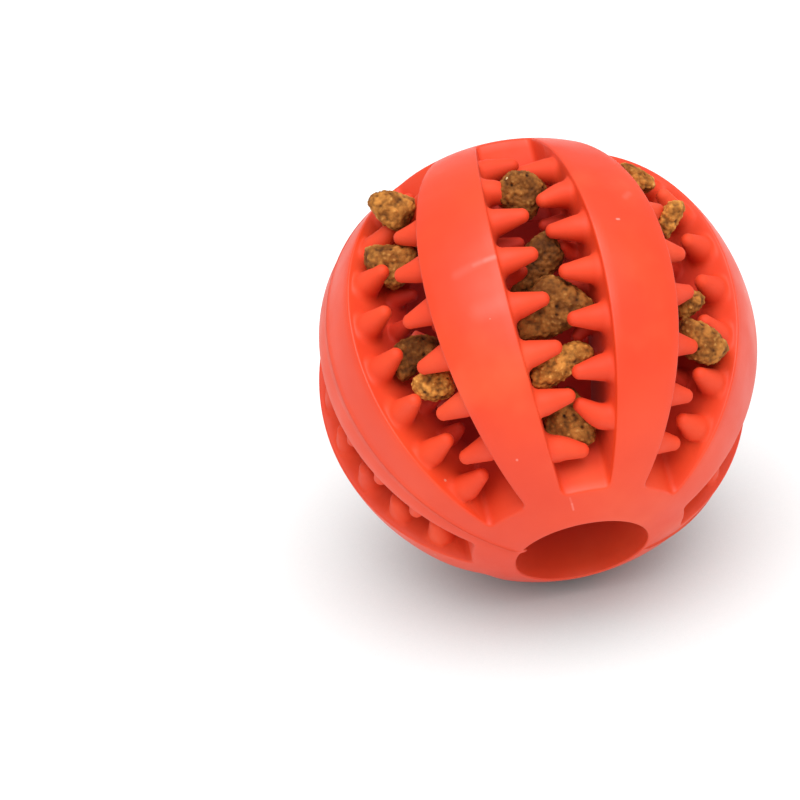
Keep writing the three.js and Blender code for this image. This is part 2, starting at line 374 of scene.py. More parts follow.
class Patchwork:
    """A mesh made patch by patch. Points that coincide are joined when it is done."""

    def __init__(self):
        self.points = []
        self.faces = []
        self.count = 0

    def add(self, points):
        """Keeps points and gives their numbers."""
        flat = np.asarray(points).reshape(-1, 3)
        self.points.append(flat)
        self.count += len(flat)
        return np.arange(self.count - len(flat), self.count)

    def grid(self, points):
        """Four-sided faces between rows of points."""
        corner = self.add(points).reshape(points.shape[:2])
        quads = [corner[:-1, :-1], corner[:-1, 1:], corner[1:, 1:], corner[1:, :-1]]
        self.faces.extend(np.stack(quads, axis=-1).reshape(-1, 4).tolist())

    def fan(self, centre, rim):
        """Triangles from a centre to a rim."""
        middle = int(self.add(centre)[0])
        edge = self.add(rim).tolist()
        self.faces.extend([middle, a, b] for a, b in zip(edge, edge[1:]))

    def mesh(self, name):
        """The patches as one smooth mesh, joined, with its faces turned outwards."""
        work = bmesh.new()
        corners = [work.verts.new(point) for point in np.concatenate(self.points)]
        for face in self.faces:
            work.faces.new([corners[i] for i in face])
        bmesh.ops.remove_doubles(work, verts=work.verts, dist=JOIN_DISTANCE)
        bmesh.ops.recalc_face_normals(work, faces=work.faces)
        for face in work.faces:
            face.smooth = True
        made = bpy.data.meshes.new(name)
        work.to_mesh(made)
        work.free()
        return made


def cap_radius(hole_end):
    """Radius, about the hole's axis, of one of the two caps."""
    return HOLE_CAP_RADIUS if hole_end else CLOSED_CAP_RADIUS


def cap_angle(radius, hole_end, beside=0):
    """Angle from the hole's axis, at a radius, of a cap's side or of places beside it."""
    from_end = np.arcsin((cap_radius(hole_end) + beside) / radius)
    return from_end if hole_end else math.pi - from_end


def slot_lines(radius):
    """Angles of the mesh lines across a slot's walls. The two cells at each end reach to its corners."""
    lines = FIRST_ANGLE - PITCH / 2 + np.arange(CELL_STEPS * LEFT_TEETH + 1) * PITCH / CELL_STEPS
    near_end = 2 * CELL_STEPS + 1
    lines[:near_end] = np.linspace(cap_angle(radius, True, SLOT_CORNER), lines[near_end - 1], near_end)
    lines[-near_end:] = np.linspace(lines[-near_end], cap_angle(radius, False, SLOT_CORNER), near_end)
    return lines


def end_columns(hole_end):
    """Side angles of the mesh lines at a slot's end, between its rounded corners."""
    reach = SLOT_HALF - SLOT_CORNER / cap_radius(hole_end)
    return np.linspace(-reach, reach, END_LINES)


def corner_arc(radius, hole_end, hand):
    """Rounded corner of a slot, from its side to its end: angles, side angles and outward normals."""
    turn = np.linspace(0, math.pi / 2, CORNER_STEPS + 1)[1:]
    angle = cap_angle(radius, hole_end, SLOT_CORNER * (1 - np.sin(turn)))
    side = hand * (SLOT_HALF - SLOT_CORNER / cap_radius(hole_end) * (1 - np.cos(turn)))
    end = -1 if hole_end else 1
    return np.stack([angle, side, end * np.sin(turn), hand * np.cos(turn)], axis=-1)


def slot_side(radius, hand):
    """Side of a slot: angles, side angles and outward normals."""
    lines = slot_lines(radius)
    flat = np.zeros_like(lines)
    return np.stack([lines, flat + hand * SLOT_HALF, flat, flat + hand], axis=-1)


def slot_end(radius, hole_end):
    """End of a slot between its rounded corners: angles, side angles and outward normals."""
    columns = end_columns(hole_end)[1:-1]
    flat = np.zeros_like(columns)
    end = -1 if hole_end else 1
    return np.stack([flat + cap_angle(radius, hole_end), columns, flat + end, flat], axis=-1)


def slot_outline(radius):
    """A slot's outline at a radius, once round: its left side, far end, right side and hole end."""
    parts = [
        slot_side(radius, 1),
        corner_arc(radius, False, 1),
        slot_end(radius, False)[::-1],
        corner_arc(radius, False, -1)[::-1],
        slot_side(radius, -1)[::-1],
        corner_arc(radius, True, -1),
        slot_end(radius, True),
        corner_arc(radius, True, 1)[::-1],
    ]
    loop = np.concatenate(parts)
    return np.concatenate([loop, loop[:1]])


def rim_edge(radius, rim, outline, centre):
    """Where a surface of the ball ends at a slot's rounded rim."""
    angle, side, along, across = outline.T
    shift = across * rim / (radius * np.sin(angle))
    return on_ball(radius, angle + along * rim / radius, centre + side + shift)


def round_off(start, edge, wall):
    """Rounding of an edge, from its start on a surface to its stop on a wall."""
    turn = np.linspace(0, math.pi / 2, ARC_STEPS + 1).reshape(-1, *[1] * start.ndim)
    return start + wall - edge + (edge - wall) * np.cos(turn) + (edge - start) * np.sin(turn)


def rim_arc(radius, rim, centre, inward):
    """Rounding of a slot's rim, from the ball's surface to the slot's wall."""
    outline = slot_outline(radius)
    lower = slot_outline(radius + inward * rim)
    edge = on_ball(radius, outline[:, 0], centre + outline[:, 1])
    start = rim_edge(radius, rim, outline, centre)
    wall = on_ball(radius + inward * rim, lower[:, 0], centre + lower[:, 1])
    return round_off(start, edge, wall)


def wall_levels():
    """Radii of the mesh lines along a slot's walls: two rows of tooth cells and a strip between them."""
    top = BALL_RADIUS - SLOT_RIM
    bottom = INNER_RADIUS + INNER_RIM
    outer_low = 2 * (BALL_RADIUS - OUTER_ROW["depth"]) - top
    inner_high = 2 * (BALL_RADIUS - INNER_ROW["depth"]) - bottom
    outer = np.linspace(top, outer_low, CELL_STEPS + 1)
    inner = np.linspace(inner_high, bottom, CELL_STEPS + 1)
    return np.concatenate([outer, inner])


# Teeth in the mesh, and how food bends them. Only some points of a tooth are tested against the food
FOOT_RINGS = 6
SHAFT_RINGS = 5
TIP_ANGLES = np.radians([22, 44, 62, 78])
TIP_CROWN = 0.25
CELL_SHARE = 0.96
LEAST_FACING = 1e-6
FOOD_REACH = 11 * MM
TESTED_EVERY = 3
BEND_STEP = math.radians(3)
BEND_MOST = math.radians(50)
BEND_REACH = 0.45
SIDEWAYS_COST = 2
# Outer teeth whose bend shows: slot, wall (1 left, -1 right) and tooth, each counted from 0 at the first
# slot or at the hole, with the degrees that it leans outwards and away from the hole
BENT_TEETH = {
    (5, 1, 3): (0, 4),
    (5, 1, 5): (0, 0),
    (5, 1, 6): (0, 27),
    (5, -1, 4): (0, 12),
    (5, -1, 5): (0, 18),
    (5, -1, 6): (-42, 0),
    (4, 1, 0): (0, -24),
    (4, 1, 6): (-38, 0),
    (4, -1, 0): (-22, 30),
    (4, -1, 1): (0, -7),
    (4, -1, 4): (-14, 7),
    (4, -1, 5): (0, -19),
    (4, -1, 6): (0, 0),
    (3, 1, 2): (0, 0),
    (3, 1, 3): (0, 16),
    (3, 1, 5): (0, 22),
    (3, 1, 6): (-35, 0),
    (3, -1, 2): (-6, 16),
    (3, -1, 5): (15, 35),
    (3, -1, 6): (-35, 0),
}


def cell_room(cell, centre, along, outward, circle):
    """Distance from a tooth's middle to the edge of its cell, in each direction of a circle."""
    room = np.full(len(circle), math.inf)
    edges = ((cell[0], outward), (cell[-1], outward), (cell[:, 0], along), (cell[:, -1], along))
    for edge, axis in edges:
        reach = (edge - centre) @ axis
        facing = circle @ axis * np.sign(reach[0])
        room = np.minimum(room, np.abs(reach).min() / np.clip(facing, LEAST_FACING, None))
    return room


def tooth_profile(row, room):
    """Radii and heights of a tooth's rings, from the fillet that its cell has room for to its round tip."""
    root, tip = row["root"], row["tip"]
    turn = np.linspace(0, math.pi / 2, FOOT_RINGS)
    spread = np.clip(CELL_SHARE * room - root, 0, row["fillet"])
    foot = root + spread * (1 - np.sin(turn))[:, None]
    foot_heights = row["fillet"] * (1 - np.cos(turn))
    shoulder = row["length"] - tip
    rise = np.linspace(0, 1, SHAFT_RINGS + 1)[1:]
    radii = np.concatenate([root + rise * (tip - root), tip * np.cos(TIP_ANGLES)])
    heights = np.concatenate([
        foot_heights[-1] + rise * (shoulder - foot_heights[-1]),
        shoulder + tip * np.sin(TIP_ANGLES),
    ])
    body = np.broadcast_to(radii[:, None], (len(radii), len(room)))
    return np.concatenate([foot, body]), np.concatenate([foot_heights, heights])


def food_clearance(points, food):
    """Least distance of points from the food, below zero inside it."""
    least = math.inf
    for point in points:
        here = Vector(point)
        for shape in food:
            place, normal, _, far = shape.find_nearest(here)
            inside = (here - place).dot(normal) < 0
            least = min(least, -far if inside else far)
    return least


def bend_tooth(rings, heights, root, across, bend):
    """A tooth bent over its lower part. The bend points where the tip goes and is as long as its turn."""
    most = np.linalg.norm(bend)
    if most == 0:
        return rings
    side = bend / most
    turn = most * np.clip(heights / heights[-1] / BEND_REACH, 0, 1)
    steps = np.diff(heights)
    middle = (turn[1:] + turn[:-1]) / 2
    rise = np.concatenate([[0], np.cumsum(steps * np.cos(middle))])[:, None]
    drift = np.concatenate([[0], np.cumsum(steps * np.sin(middle))])[:, None]
    offset = rings - root - heights[:, None, None] * across
    beside = offset @ side
    straight = offset - beside[:, :, None] * side
    up = rise - beside * np.sin(turn)[:, None]
    out = drift + beside * np.cos(turn)[:, None]
    return root + straight + up[:, :, None] * across + out[:, :, None] * side


def give_way(rings, heights, root, across, ways):
    """Bends a tooth to clear the food beside it, in the way that costs least, or as nearly as it can."""
    food = [shape for _, centre, shape in FOOD if (centre - Vector(root)).length < FOOD_REACH]
    if not food:
        return rings
    turns = np.arange(0, BEND_MOST, BEND_STEP)
    tries = [(turn * cost, turn * way) for way, cost in ways for turn in turns]
    best = (-math.inf, None)
    for _, bend in sorted(tries, key=lambda each: each[0]):
        bent = bend_tooth(rings, heights, root, across, bend)
        clearance = food_clearance(bent[FOOT_RINGS:, ::TESTED_EVERY].reshape(-1, 3), food)
        if clearance > best[0]:
            best = (clearance, bent)
        if clearance > 0:
            break
    return best[1]


def add_tooth(work, cell, row, angle, azimuth, hand, bent):
    """A tooth that grows out of one cell of a slot's wall."""
    radius = BALL_RADIUS - row["depth"]
    centre = on_ball(radius, angle, azimuth)
    outward = centre / radius
    across = -hand * np.array([-math.sin(azimuth), math.cos(azimuth), 0])
    along = np.cross(across, outward)
    rim = np.concatenate([cell[0], cell[1:, -1], cell[-1, -2::-1], cell[-2::-1, 0]])
    offset = rim - centre
    width = np.abs(offset @ along).max()
    height = np.abs(offset @ outward).max()
    turn = np.arctan2(offset @ outward / height, offset @ along / width)
    circle = np.cos(turn)[:, None] * along + np.sin(turn)[:, None] * outward
    radii, heights = tooth_profile(row, cell_room(cell, centre, along, outward, circle))
    rings = lay(centre + radii[:, :, None] * circle + heights[:, None, None] * across)
    root = lay(centre)
    across, outward, away = (np.array(POSE) @ way for way in (across, outward, -hand * along))
    if bent:
        bend = np.radians(bent[0]) * outward + np.radians(bent[1]) * away
        rings = bend_tooth(rings, heights, root, across, bend)
    else:
        easy = outward if row is OUTER_ROW else -outward
        ways = [(easy, 1), (-easy, SIDEWAYS_COST), (away, SIDEWAYS_COST), (-away, SIDEWAYS_COST)]
        rings = give_way(rings, heights, root, across, ways)
    work.grid(np.concatenate([lay(rim)[None], rings]))
    below, middle = rings[-2:, :-1].mean(axis=1)
    work.fan(middle + TIP_CROWN * (middle - below), rings[-1])


def add_wall(work, slot, hand):
    """A side wall of a slot, with two rows of teeth. The inner row stops short of the caps."""
    azimuth = slot * SLOT_SPACING + hand * SLOT_HALF
    levels = wall_levels()
    wall = on_ball(levels[:, None], np.array([slot_lines(level) for level in levels]), azimuth)
    work.grid(lay(wall[CELL_STEPS:CELL_STEPS + 2]))
    count, shift = (LEFT_TEETH, 0) if hand > 0 else (LEFT_TEETH - 1, CELL_STEPS // 2)
    for row, top, left_out in ((OUTER_ROW, 0, 0), (INNER_ROW, CELL_STEPS + 1, INNER_TEETH_LEFT_OUT)):
        band = wall[top:top + CELL_STEPS + 1]
        teeth = np.arange(left_out, count - left_out)
        edges = shift + CELL_STEPS * np.append(teeth, count - left_out)
        edges[0] -= left_out * CELL_STEPS // 2
        edges[-1] += left_out * CELL_STEPS // 2
        for spare in (band[:, :edges[0] + 1], band[:, edges[-1]:]):
            if spare.shape[1] > 1:
                work.grid(lay(spare))
        for i, first, last in zip(teeth, edges, edges[1:]):
            angle = FIRST_ANGLE + (i + shift / CELL_STEPS) * PITCH
            bent = BENT_TEETH.get((slot, hand, i)) if row is OUTER_ROW else None
            add_tooth(work, band[:, first:last + 1], row, angle, azimuth, hand, bent)


def add_slot(work, slot):
    """Rims, end walls and side walls of a slot."""
    centre = slot * SLOT_SPACING
    work.grid(lay(rim_arc(BALL_RADIUS, SLOT_RIM, centre, -1)))
    work.grid(lay(rim_arc(INNER_RADIUS, INNER_RIM, centre, 1)))
    levels = wall_levels()
    outlines = np.array([slot_outline(level) for level in levels])
    walls = on_ball(levels[:, None], outlines[:, :, 0], centre + outlines[:, :, 1])
    # An end wall starts at the last point of one side wall and stops at the first point of the other
    side_points = len(slot_lines(BALL_RADIUS))
    end_points = 2 * CORNER_STEPS + END_LINES - 2
    far_end = walls[:, side_points - 1:side_points + end_points + 1]
    hole_end = walls[:, 2 * side_points + end_points - 1:]
    for wall in (far_end, hole_end):
        work.grid(lay(wall))
    for hand in (1, -1):
        add_wall(work, slot, hand)


def rib_azimuths(angle, radius, rim, slot):
    """Azimuths of a rib's mesh lines at an angle from the hole's axis."""
    held = min(max(angle, cap_angle(radius, True)), cap_angle(radius, False))
    half = RIB_HALF - rim / (radius * math.sin(held))
    return (slot + 0.5) * SLOT_SPACING + RIB_LINES * half


def parting_lift(azimuth):
    """Height of the parting line's ridge and step over the ball's outside."""
    apart = (azimuth - PARTING_AZIMUTH + math.pi / 2) % math.pi - math.pi / 2
    ridge = PARTING_RIDGE * np.clip(1 - np.abs(apart) / RIDGE_HALF, 0, None)
    fade = np.clip(1 - apart / STEP_END, 0, None)
    return ridge - PARTING_STEP * fade * (apart > STEP_START)


def skin(radius, angle, azimuths):
    """A row of points on the ball's outside or inside."""
    lift = parting_lift(azimuths) if radius == BALL_RADIUS else 0
    return on_ball(radius + lift, angle, azimuths)


def add_ribs(work, radius, rim):
    """Outside or inside of the ribs."""
    start = cap_angle(radius, True) - rim / radius
    stop = cap_angle(radius, False) + rim / radius
    angles = [start, *slot_lines(radius), stop]
    for slot in range(SLOT_COUNT):
        rows = [skin(radius, angle, rib_azimuths(angle, radius, rim, slot)) for angle in angles]
        work.grid(lay(np.array(rows)))


def add_slot_corners(work, radius, rim):
    """Fills between a slot's rounded corners and the lines of the ribs and caps."""
    for slot in range(SLOT_COUNT):
        centre = slot * SLOT_SPACING
        for hole_end in (True, False):
            for hand in (1, -1):
                arc = corner_arc(radius, hole_end, hand)
                lines = slot_side(radius, hand)
                side = lines[:1] if hole_end else lines[-1:]
                edge = rim_edge(radius, rim, np.concatenate([side, arc]), centre)
                angle = arc[-1, 0] + arc[-1, 2] * rim / radius
                azimuth = centre + hand * (SLOT_HALF + rim / cap_radius(hole_end))
                work.fan(lay(on_ball(radius, angle, azimuth)), lay(edge))


def ring_azimuths(radius, rim, hole_end):
    """Azimuths of all mesh lines of a cap, once round."""
    lines = []
    for slot in range(SLOT_COUNT):
        lines.extend(slot * SLOT_SPACING + end_columns(hole_end))
        lines.extend(rib_azimuths(cap_angle(radius, hole_end), radius, rim, slot))
    return np.array([*lines, lines[0] + 2 * math.pi])


def add_closed_cap(work, radius, rim):
    """Outside or inside of the end without a hole."""
    azimuths = ring_azimuths(radius, rim, False)
    angles = np.linspace(cap_angle(radius, False) + rim / radius, math.pi, CLOSED_CAP_ROWS + 1)[:-1]
    rows = np.array([skin(radius, angle, azimuths) for angle in angles])
    work.grid(lay(rows))
    work.fan(lay(on_ball(radius, math.pi, 0)), lay(rows[-1]))


def hole_rounding(radius, inward):
    """Profile of a rounded rim of the hole, from the ball's surface to the bore, for around()."""
    edge = np.array([HOLE_RADIUS, math.sqrt(radius**2 - HOLE_RADIUS**2)])
    slope = np.array([edge[1], -edge[0]]) / radius
    start = edge + slope * HOLE_RIM
    wall = edge + np.array([0, inward * HOLE_RIM])
    return round_off(start, edge, wall)


def around(profile, azimuths):
    """Rows of points that turn a profile, given as distance from the axis and height, about the axis."""
    to_axis = profile[:, 0, None]
    spread = [to_axis * np.cos(azimuths), to_axis * np.sin(azimuths)]
    return np.stack([*spread, np.broadcast_to(profile[:, 1, None], spread[0].shape)], axis=-1)


def with_flash(rim, azimuths):
    """The hole's outer rim with a flap of flash, which stands into the hole at the parting line."""
    apart = (azimuths - PARTING_AZIMUTH + math.pi) % (2 * math.pi) - math.pi
    reach = np.where(np.abs(apart) < FLASH_HALF, FLASH_REACH, 0)
    share = np.linspace(0, 1, len(rim))[:, None]
    flashed = rim.copy()
    flashed[..., :2] *= (1 - share * reach / HOLE_RADIUS)[..., None]
    return flashed


def add_hole_cap(work):
    """The end with the filling hole: its outside, its inside and the bore."""
    sides = []
    for radius, rim, inward in ((BALL_RADIUS, SLOT_RIM, -1), (INNER_RADIUS, INNER_RIM, 1)):
        azimuths = ring_azimuths(radius, rim, True)
        profile = hole_rounding(radius, inward)
        rounding = around(profile, azimuths)
        start = math.atan2(*profile[0])
        angles = np.linspace(start, cap_angle(radius, True) - rim / radius, HOLE_CAP_ROWS + 1)[1:]
        rows = np.array([skin(radius, angle, azimuths) for angle in angles])
        work.grid(lay(np.concatenate([rounding[:1], rows])))
        sides.append((rounding, azimuths))
    (outer, azimuths), (inner, _) = sides
    rise = np.linspace(0, 1, BORE_ROWS + 1)[:, None, None]
    bore = outer[-1] + rise * (inner[-1] - outer[-1])
    outer = with_flash(outer, azimuths)
    bore[0] = outer[-1]
    for part in (outer, bore, inner):
        work.grid(lay(part))


def ball_mesh():
    """The whole rubber moulding."""
    work = Patchwork()
    for radius, rim in ((BALL_RADIUS, SLOT_RIM), (INNER_RADIUS, INNER_RIM)):
        add_ribs(work, radius, rim)
        add_slot_corners(work, radius, rim)
        add_closed_cap(work, radius, rim)
    add_hole_cap(work)
    for slot in range(SLOT_COUNT):
        add_slot(work, slot)
    return work.mesh("rubber_ball")


ball = new_object("rubber_ball", ball_mesh())
rubber_nodes = [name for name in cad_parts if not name.startswith("kibble")]
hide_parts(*rubber_nodes)
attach(ball, "ball")


# Materials
def feed(tree, value, socket):
    """Links an output to a socket, or sets a plain value on it."""
    if isinstance(value, bpy.types.NodeSocket):
        tree.links.new(value, socket)
    else:
        socket.default_value = value


def add_node(tree, kind, inputs, **settings):
    """A node with its settings, and with values or links on its inputs."""
    node = tree.nodes.new(kind)
    for name, value in settings.items():
        setattr(node, name, value)
    for name, value in inputs.items():
        feed(tree, value, node.inputs[name])
    return node


def compute(tree, operation, *values):
    """A number that a Math node works out from others."""
    return add_node(tree, "ShaderNodeMath", dict(enumerate(values)), operation=operation).outputs[0]


def compute_vector(tree, operation, *values):
    """Outputs of a Vector Math node."""
    return add_node(tree, "ShaderNodeVectorMath", dict(enumerate(values)), operation=operation).outputs


def ramp(tree, value, start, stop):
    """A mask that goes from 0 to 1 as a value goes from a start to a stop."""
    limits = {"Value": value, "From Min": start, "From Max": stop}
    return add_node(tree, "ShaderNodeMapRange", limits).outputs["Result"]


def new_group(name, inputs, output):
    """An empty node group: the tree, the outputs of its input node and its output socket."""
    tree = bpy.data.node_groups.new(name, "ShaderNodeTree")
    for title, kind in inputs.items():
        tree.interface.new_socket(title, in_out="INPUT", socket_type=kind)
    title, kind = output
    tree.interface.new_socket(title, in_out="OUTPUT", socket_type=kind)
    entry = tree.nodes.new("NodeGroupInput")
    leave = tree.nodes.new("NodeGroupOutput")
    return tree, entry.outputs, leave.inputs[title]


def add_group(tree, group, inputs):
    """Output of a node group that is placed in a material."""
    return add_node(tree, "ShaderNodeGroup", inputs, node_tree=group).outputs[0]


def mix_colours(tree, mask, first, second):
    """A colour, with a second one over it where the mask says."""
    mix = add_node(tree, "ShaderNodeMix", {}, data_type="RGBA")
    sockets = {socket.identifier: socket for socket in mix.inputs}
    for name, value in (("Factor_Float", mask), ("A_Color", first), ("B_Color", second)):
        feed(tree, value, sockets[name])
    return next(socket for socket in mix.outputs if socket.identifier == "Result_Color")


def patches_group():
    """Soft patches of the given spacing, as a mask."""
    sockets = {
        "Place": "NodeSocketVector",
        "Scale": "NodeSocketFloat",
        "From": "NodeSocketFloat",
        "To": "NodeSocketFloat",
    }
    tree, entry, leave = new_group("patches", sockets, ("Mask", "NodeSocketFloat"))
    cloud = add_node(
        tree, "ShaderNodeTexNoise", {"Vector": entry["Place"], "Scale": entry["Scale"], "Detail": 4.0}
    )
    limits = {"Value": cloud.outputs["Fac"], "From Min": entry["From"], "From Max": entry["To"]}
    spread = add_node(tree, "ShaderNodeMapRange", limits, interpolation_type="SMOOTHSTEP")
    tree.links.new(spread.outputs["Result"], leave)
    return tree


def specks_group():
    """Small round specks in a share of the cells of the given spacing, as a mask."""
    sockets = {
        "Place": "NodeSocketVector",
        "Scale": "NodeSocketFloat",
        "Share": "NodeSocketFloat",
        "Size": "NodeSocketFloat",
    }
    tree, entry, leave = new_group("specks", sockets, ("Mask", "NodeSocketFloat"))
    cells = add_node(tree, "ShaderNodeTexVoronoi", {"Vector": entry["Place"], "Scale": entry["Scale"]})
    chance = add_node(tree, "ShaderNodeSeparateColor", {"Color": cells.outputs["Color"]})
    chosen = compute(tree, "LESS_THAN", chance.outputs["Red"], entry["Share"])
    near = compute(tree, "LESS_THAN", cells.outputs["Distance"], entry["Size"])
    tree.links.new(compute(tree, "MULTIPLY", chosen, near), leave)
    return tree


def grain_group():
    """A fine bumpy normal of the given spacing and depth."""
    sockets = {"Place": "NodeSocketVector", "Scale": "NodeSocketFloat", "Depth": "NodeSocketFloat"}
    tree, entry, leave = new_group("grain", sockets, ("Normal", "NodeSocketVector"))
    cloud = add_node(
        tree, "ShaderNodeTexNoise", {"Vector": entry["Place"], "Scale": entry["Scale"], "Detail": 3.0}
    )
    relief = {"Height": cloud.outputs["Fac"], "Distance": entry["Depth"], "Strength": 1.0}
    bump = add_node(tree, "ShaderNodeBump", relief)
    tree.links.new(bump.outputs["Normal"], leave)
    return tree


def streak_group():
    """A soft streak of the given width, from a start along a direction, as a mask."""
    sockets = {
        "Place": "NodeSocketVector",
        "Start": "NodeSocketVector",
        "Along": "NodeSocketVector",
        "Length": "NodeSocketFloat",
        "Width": "NodeSocketFloat",
        "Strength": "NodeSocketFloat",
    }
    tree, entry, leave = new_group("streak", sockets, ("Mask", "NodeSocketFloat"))
    offset = compute_vector(tree, "SUBTRACT", entry["Place"], entry["Start"])["Vector"]
    ahead = compute_vector(tree, "DOT_PRODUCT", offset, entry["Along"])["Value"]
    held = add_node(tree, "ShaderNodeClamp", {"Value": ahead, "Max": entry["Length"]}).outputs["Result"]
    foot = add_node(
        tree, "ShaderNodeVectorMath", {0: entry["Along"], "Scale": held}, operation="SCALE"
    ).outputs["Vector"]
    far = compute_vector(tree, "DISTANCE", offset, foot)["Value"]
    limits = {"Value": far, "From Min": entry["Width"], "From Max": 0.0, "To Max": entry["Strength"]}
    mask = add_node(tree, "ShaderNodeMapRange", limits, interpolation_type="SMOOTHSTEP")
    tree.links.new(mask.outputs["Result"], leave)
    return tree


PATCHES = patches_group()
SPECKS = specks_group()
GRAIN = grain_group()
STREAK = streak_group()


def new_material(name):
    """A material with an empty Principled surface: its tree, its shader and the place on the object."""
    material = bpy.data.materials.new(name)
    material.use_nodes = True
    tree = material.node_tree
    tree.nodes.clear()
    shader = tree.nodes.new("ShaderNodeBsdfPrincipled")
    end = tree.nodes.new("ShaderNodeOutputMaterial")
    tree.links.new(shader.outputs["BSDF"], end.inputs["Surface"])
    place = tree.nodes.new("ShaderNodeTexCoord").outputs["Object"]
    return material, tree, shader, place


# Rubber: worn smooth outside, matt inside, and darkened by painted shade at the bottom of the slots
RUBBER_PATCHES = {"Scale": 70.0, "From": 0.3, "To": 0.75}
RUBBER_DARK = (0.7, 0.038, 0.003, 1)
RUBBER_LIGHT = (0.76, 0.05, 0.005, 1)
BLOOM_PATCHES = {"Scale": 42.0, "From": 0.54, "To": 0.78}
BLOOM_COLOUR = (0.8, 0.08, 0.02, 1)
DUST_SPECKS = {"Scale": 330.0, "Share": 0.04, "Size": 0.09}
DUST_COLOUR = (0.7, 0.2, 0.13, 1)
# Painted shade: where it starts and where it is full, as distances from the ball's middle
PAINTED_SHADE_FROM = 32 * MM
PAINTED_SHADE_TO = 24 * MM
PAINTED_SHADE_COLOUR = (0.5, 0.008, 0.001, 1)
WORN_PATCHES = {"Scale": 160.0, "From": 0.2, "To": 0.8}
WORN_ROUGHNESS = {"To Min": 0.36, "To Max": 0.5}
MATT_TO = 33.5 * MM
MATT_MORE = 0.3
RUBBER_GRAIN = {"Scale": 2600.0, "Depth": 0.012 * MM}
# A painted highlight as pale streaks along a rib, then a smear, a scratch and specks: from one pixel of the
# frame to another, width and strength
MARKS_AND_HIGHLIGHT = [
    # The first four streaks, along a rib, are a painted highlight
    ((486, 260), (494, 257), 0.75 * MM, 0.22),
    ((474, 265), (494, 257), 0.6 * MM, 0.16),
    ((456, 275), (480, 262), 1.2 * MM, 0.08),
    ((480, 311), (498, 304), 2.4 * MM, 0.1),
    ((625, 197), (629, 193), 0.8 * MM, 0.12),
    ((570, 498), (572, 504), 0.22 * MM, 0.2),
    ((572, 504), (573.5, 510), 0.25 * MM, 0.4),
    ((517, 460), (517, 460), 0.3 * MM, 0.7),
    ((617, 219), (619, 219), 0.3 * MM, 0.8),
]
MARK_AND_HIGHLIGHT_COLOUR = (0.85, 0.3, 0.25, 1)


def rubber_colour(tree, place, deep):
    """Uneven red with bloom, dust, a smear, a scratch and specks on it, a painted highlight along a rib,
    and painted shade where it lies deep.
    """
    tone = add_group(tree, PATCHES, {"Place": place, **RUBBER_PATCHES})
    colour = mix_colours(tree, tone, RUBBER_DARK, RUBBER_LIGHT)
    bloom = add_group(tree, PATCHES, {"Place": place, **BLOOM_PATCHES})
    colour = mix_colours(tree, bloom, colour, BLOOM_COLOUR)
    dust = add_group(tree, SPECKS, {"Place": place, **DUST_SPECKS})
    colour = mix_colours(tree, dust, colour, DUST_COLOUR)
    for start, stop, width, strength in MARKS_AND_HIGHLIGHT:
        first = seen_on_ball(*start)
        line = seen_on_ball(*stop) - first
        shape = {"Start": first, "Along": line.normalized(), "Length": line.length, "Width": width}
        # Pale streaks painted on; those along a rib are a painted highlight
        mark_and_highlight = add_group(tree, STREAK, {"Place": place, **shape, "Strength": strength})
        colour = mix_colours(tree, mark_and_highlight, colour, MARK_AND_HIGHLIGHT_COLOUR)
    # Painted shade: the rubber darkens where it lies deep
    painted_shade = ramp(tree, deep, PAINTED_SHADE_FROM, PAINTED_SHADE_TO)
    return mix_colours(tree, painted_shade, colour, PAINTED_SHADE_COLOUR)


def rubber_roughness(tree, place, deep):
    """Unevenly polished by wear outside, and more matt inside."""
    worn = add_group(tree, PATCHES, {"Place": place, **WORN_PATCHES})
    polish = add_node(tree, "ShaderNodeMapRange", {"Value": worn, **WORN_ROUGHNESS}).outputs["Result"]
    matt = ramp(tree, deep, BALL_RADIUS, MATT_TO)
    return compute(tree, "MULTIPLY_ADD", matt, MATT_MORE, polish)


def rubber_material():
    """Red rubber of the ball. What lies deep in it is told by the distance from the ball's middle."""
    material, tree, shader, place = new_material("red_rubber")
    deep = compute_vector(tree, "DISTANCE", place, CENTRE)["Value"]
    tree.links.new(rubber_colour(tree, place, deep), shader.inputs["Base Color"])
    tree.links.new(rubber_roughness(tree, place, deep), shader.inputs["Roughness"])
    grain = add_group(tree, GRAIN, {"Place": place, **RUBBER_GRAIN})
    tree.links.new(grain, shader.inputs["Normal"])
    return material


# Dry food, baked, with painted shade in its crevices and painted light on its crests, which start and end
# at heights in mm
FOOD_PATCHES = {"Scale": 420.0, "From": 0.35, "To": 0.68}
FOOD_DARK = (0.17, 0.053, 0.008, 1)
FOOD_LIGHT = (0.38, 0.14, 0.026, 1)
SHADED_CREVICE_HEIGHTS = (-0.02, -0.3)
CREVICE_PAINTED_SHADE = (0.035, 0.009, 0.002, 1)
LIT_CREST_HEIGHTS = (0.06, 0.35)
CREST_PAINTED_LIGHT = (0.6, 0.29, 0.075, 1)
BRAN_SPECKS = {"Scale": 1100.0, "Share": 0.004, "Size": 0.3}
BRAN_COLOUR = (0.75, 0.56, 0.28, 1)
FOOD_GRAIN = {"Scale": 2400.0, "Depth": 0.12 * MM}
FOOD_ROUGHNESS = 0.75
FOOD_SPECULAR = 0.15


